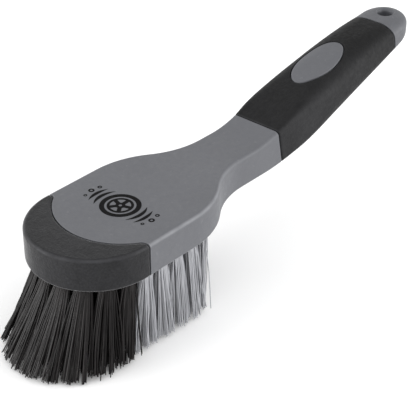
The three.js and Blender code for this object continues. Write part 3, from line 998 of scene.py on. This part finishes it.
def leg_points(place, root, clumps, draw):
    """One leg of a folded filament, from its tip up to the hole's mouth, as offsets from the root."""
    centre = Vector(root[:2])
    out, lean, _ = stance_of(*centre)
    even = flared_tip(place, root, abs(draw.gauss(0, TIP_GIVE)))
    gathered, lift = min(clumps, key=lambda clump: (clump[0] - even).length)
    stray = draw.random() < STRAYS
    tip = even if stray else even.lerp(gathered, CLUMP_PULL)
    tip = tip + scattered(draw, STRAY_SCATTER if stray else TIP_SCATTER)
    tip_z = lift + abs(draw.gauss(0, TRIM_SCATTER))
    tip_z += (draw.random() < SHORT_ONES) * draw.uniform(*SHORT_BY)
    bow = scattered(draw, BOW)
    mouth, axis = Vector(place) * MOUTH_SPREAD, out * lean
    slack = WILD_SLACK if draw.random() < WILD_ONES else abs(draw.gauss(0, SLACK))
    points = []
    for share in LEG_SHARES:
        spread = mouth.lerp(tip - axis, share**FAN_POWER)
        spot = spread + axis * share**LEAN_POWER + bow * math.sin(math.pi * share)
        spot = within_outline(centre + spot, share, -slack * share) - centre
        points.append((spot.x, spot.y, lerp(BRISTLE_FACE, tip_z, share)))
    return points + [(*place, BRISTLE_FACE)]


def fold_points(place, slant):
    """The filament's fold over the anchor inside the hole, from one leg to the other."""
    along, away = place
    points = []
    for degrees in (0, 45, 90, 135, 180):
        angle = math.radians(degrees)
        z = FOLD_Z + FOLD_RISE * away * math.sin(angle)
        up = z - BRISTLE_FACE
        points.append((along - slant.x * up, away * math.cos(angle) - slant.y * up, z))
    return points


def tube(points, path, radius):
    """Adds a thin closed tube along path to points, and returns its faces."""
    first = len(points)
    across = Vector((1, 0, 0))
    for i, here in enumerate(path):
        before, after = path[max(i - 1, 0)], path[min(i + 1, len(path) - 1)]
        tangent = (Vector(after) - Vector(before)).normalized()
        second = tangent.cross(across).normalized()
        level = second.cross(tangent)
        for k in range(FILAMENT_SIDES):
            turn = 2 * math.pi * k / FILAMENT_SIDES
            offset = level * (radius * math.cos(turn)) + second * (radius * math.sin(turn))
            points.append(tuple(Vector(here) + offset))
    return capped_faces(len(path), FILAMENT_SIDES, first)


def filament_bundle(name, root, draw):
    """A tuft: folded filaments that fill the hole and spread towards their tips."""
    x, y, _ = root
    slant = slant_of(x, y)
    clumps = tip_clumps(root, draw)
    points, faces, shades = [], [], []
    for along, away in half_disc_places(FOLDED_FILAMENTS, ROOT_REACH - FILAMENT_RADIUS, draw):
        near = leg_points((along, away), root, clumps, draw)
        far = leg_points((along, -away), root, clumps, draw)
        path = near + fold_points((along, away), slant) + list(reversed(far))
        path = [(x + px, y + py, pz) for px, py, pz in path]
        radius = FILAMENT_RADIUS * draw.uniform(THINNEST, THICKEST)
        faces += tube(points, path, radius)
        shades += [draw.random()] * (len(points) - len(shades))
    mesh = bpy.data.meshes.new(name)
    placed = [(HEAD_FRONT + px * MM, py * MM, TIP_LEVEL + max(pz, 0) * MM) for px, py, pz in points]
    mesh.from_pydata(placed, [], faces)
    mesh.attributes.new("strand", "FLOAT", "POINT").data.foreach_set("value", shades)
    smooth(mesh, 60)
    return add_object(name, mesh)


def anchor_plate(name, root):
    """A flat steel anchor under a tuft's fold, with its corners nipped off."""
    x, y, _ = root
    slant = slant_of(x, y)
    width, thickness, height = ANCHOR_SIZE
    nip, soft = ANCHOR_NIP, ANCHOR_EDGE
    outline = (
        (-width / 2, nip), (-width / 2 + nip, 0), (width / 2 - nip, 0), (width / 2, nip),
        (width / 2, height - nip), (width / 2 - nip, height), (-width / 2 + nip, height),
        (-width / 2, height - nip),
    )
    face = thickness / 2
    rings = []
    for offset, inset in ((-face, soft), (-face + soft, 0), (face - soft, 0), (face, soft)):
        ring = []
        for along, up in outline:
            shrink = 1 - 2 * inset / width
            level = ANCHOR_TOP - height + lerp(height / 2, up, 1 - 2 * inset / height)
            rise = level - BRISTLE_FACE
            ring.append((x + along * shrink - slant.x * rise, y + offset - slant.y * rise, level))
        rings.append(ring)
    return lofted(name, rings, sharp_degrees=20)


# ---- Printed mark ----

MARK_X = 48.0
MARK_CIRCLES = ((9.6, 72), (7.3, 64), (6.2, 60), (0.8, 20))  # radius, sides: tyre, rim, hub
MARK_SPOKES = 5
MARK_WINDOW = (2.3, 4.9, 2.0)  # between two spokes: inner radius, outer radius, spoke's width
MARK_STROKES = ((12.2, 0.62, 1.9), (15.4, 0.42, 1.8))  # radius, half angle, width
MARK_BUBBLES = ((0.4, 19.0, 1.5), (-4.4, 18.0, 0.9), (5.0, 18.2, 1.1))  # place, radius
BUBBLE_HOLLOW = 0.42
INK_THICKNESS = 0.05


def wheel_window(index, count, inner, outer, spoke):
    """The opening between two spokes, from inner to outer radius, with spokes of that width."""
    middle = 2 * math.pi * (index + 0.5) / count
    points = []
    for radius, side, steps in ((outer, -1, 10), (inner, 1, 4)):
        reach = side * (math.pi / count - math.asin(spoke / 2 / radius))
        for i in range(steps + 1):
            turn = middle + lerp(reach, -reach, i / steps)
            points.append((MARK_X + radius * math.cos(turn), radius * math.sin(turn)))
    return points


def stroke_outline(radius, centre_angle, half_angle, width):
    """A curved stroke beside the wheel, with pointed ends."""
    steps = 16
    points = []
    for i in range(2 * steps):
        side, share = (1, 2 * i / steps - 1) if i <= steps else (-1, 3 - 2 * i / steps)
        reach = radius + side * width / 2 * math.cos(math.pi / 2 * share)
        turn = centre_angle + half_angle * share
        points.append((MARK_X + reach * math.cos(turn), reach * math.sin(turn)))
    return points


def mark_outlines():
    """A generic wheel with its tyre, and a splash of curved strokes and bubbles on both sides."""
    outlines = [circle_points(MARK_X, 0, radius, sides) for radius, sides in MARK_CIRCLES]
    outlines += [wheel_window(i, MARK_SPOKES, *MARK_WINDOW) for i in range(MARK_SPOKES)]
    for side in (1, -1):
        for radius, half_angle, width in MARK_STROKES:
            outlines.append(stroke_outline(radius, side * math.pi / 2, half_angle, width))
        for x, y, radius in MARK_BUBBLES:
            outlines.append(circle_points(MARK_X + x, side * y, radius, 24))
            outlines.append(circle_points(MARK_X + x, side * y, radius * BUBBLE_HOLLOW, 16))
    return outlines


def printed_mark():
    """The mark as a thin layer of ink on the head's top. Nested outlines are ink and bare by turns."""
    curve = bpy.data.curves.new("mark", "CURVE")
    curve.dimensions = "2D"
    curve.fill_mode = "BOTH"
    curve.extrude = INK_THICKNESS / 2 * MM
    for outline in mark_outlines():
        spline = curve.splines.new("POLY")
        spline.points.add(len(outline) - 1)
        for point, (x, y) in zip(spline.points, outline):
            point.co = (HEAD_FRONT + x * MM, y * MM, 0, 1)
        spline.use_cyclic_u = True
    holder = add_object("mark", curve)
    depsgraph = bpy.context.evaluated_depsgraph_get()
    mesh = bpy.data.meshes.new_from_object(holder.evaluated_get(depsgraph))
    bpy.data.objects.remove(holder)
    level = TIP_LEVEL + (HEAD_TOP + INK_THICKNESS / 2) * MM
    for vertex in mesh.vertices:
        vertex.co.z += level
    weld(mesh)
    return add_object("printed_mark", mesh)


# ---- Assembly ----


def place_piece(piece, name, material, slot, *nodes):
    """Gives a piece its name, finish and body, and lets it stand for the CAD nodes named."""
    piece.name = name
    piece.data.materials.clear()
    piece.data.materials.append(material)
    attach(piece, "root")
    if nodes:
        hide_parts(*nodes)


def make_floor():
    mesh = bpy.data.meshes.new("floor")
    half = FLOOR_HALF
    corners = [(-half, -half, 0), (half, -half, 0), (half, half, 0), (-half, half, 0)]
    mesh.from_pydata(corners, [], [(0, 1, 2, 3)])
    mesh.materials.append(floor_paper())
    floor = add_object("floor", mesh)
    floor.location.z = TIP_LEVEL - FLOOR_DROP


def make_core(roots):
    core = core_blank()
    room = bumper_body("room", 0, -CUT_PAST, SKIN, BRISTLE_FACE - CUT_PAST, False)
    combine(core, room, "DIFFERENCE")
    combine(core, window_boss(), "UNION")
    combine(core, tuft_holes(roots), "DIFFERENCE")
    combine(core, hang_hole(), "DIFFERENCE")
    smooth(core.data)
    place_piece(core, "core_moulding", moulded_plastic(), "core_plastic", "body_core")


def make_overmoulds():
    charcoal = soft_rubber(
        "bumper_rubber", (0x101012, 0x272729, 0x404043),
        specular=0.2, roughness=(0.5, 0.66), sheen=0.5, painted_rim_highlight=(0.2, 0.7), painted_flank_light=(0, 0.12),
    )
    bumper = bumper_body("bumper", GAP, 0, SKIN - GAP, BRISTLE_FACE, True)
    place_piece(bumper, "bumper_moulding", charcoal, "bumper_rubber", "front_bumper")
    near_black = soft_rubber(
        "grip_rubber", (0x0E0E0F, 0x1C1C1D, 0x323234),
        specular=0.16, roughness=(0.54, 0.7), sheen=0.03, painted_rim_highlight=(0, 0.2), painted_flank_light=(0.2, 0.5),
    )
    grip = grip_body()
    combine(grip, window_cutter(), "DIFFERENCE")
    smooth(grip.data)
    place_piece(grip, "grip_moulding", near_black, "grip_rubber", "grip_sleeve")


def make_tufts(roots):
    filaments = {
        "black": filament_plastic(
            "black_filament", 0x0C0A0A, 0x353333, specular=0.14, roughness=(0.34, 0.48)
        ),
        "grey": filament_plastic(
            "grey_filament", 0x97989C, 0xA8A9AD, specular=0.4, roughness=(0.36, 0.5)
        ),
    }
    steel = drawn_steel()
    counts = {"black": 0, "grey": 0}
    for index, root in enumerate(roots):
        colour = "black" if root[0] < BLACK_TUFTS_END else "grey"
        counts[colour] += 1
        label = f"{colour}_{counts[colour]:02d}"
        node = f"{colour}_tuft_{counts[colour]:02d}"
        draw = random.Random(FIRST_SEED + index)
        bundle = filament_bundle("filaments", root, draw)
        place_piece(bundle, f"filaments_{label}", filaments[colour], f"{colour}_filament", node)
        place_piece(anchor_plate("anchor", root), f"anchor_{label}", steel, "anchor_metal")


make_camera()
make_world()
make_floor()
for light_facts in LIGHTS:
    make_area_light(*light_facts)
tuft_places = tuft_roots()
make_core(tuft_places)
make_overmoulds()
make_tufts(tuft_places)
place_piece(printed_mark(), "printed_mark", printing_ink(), "print_ink")
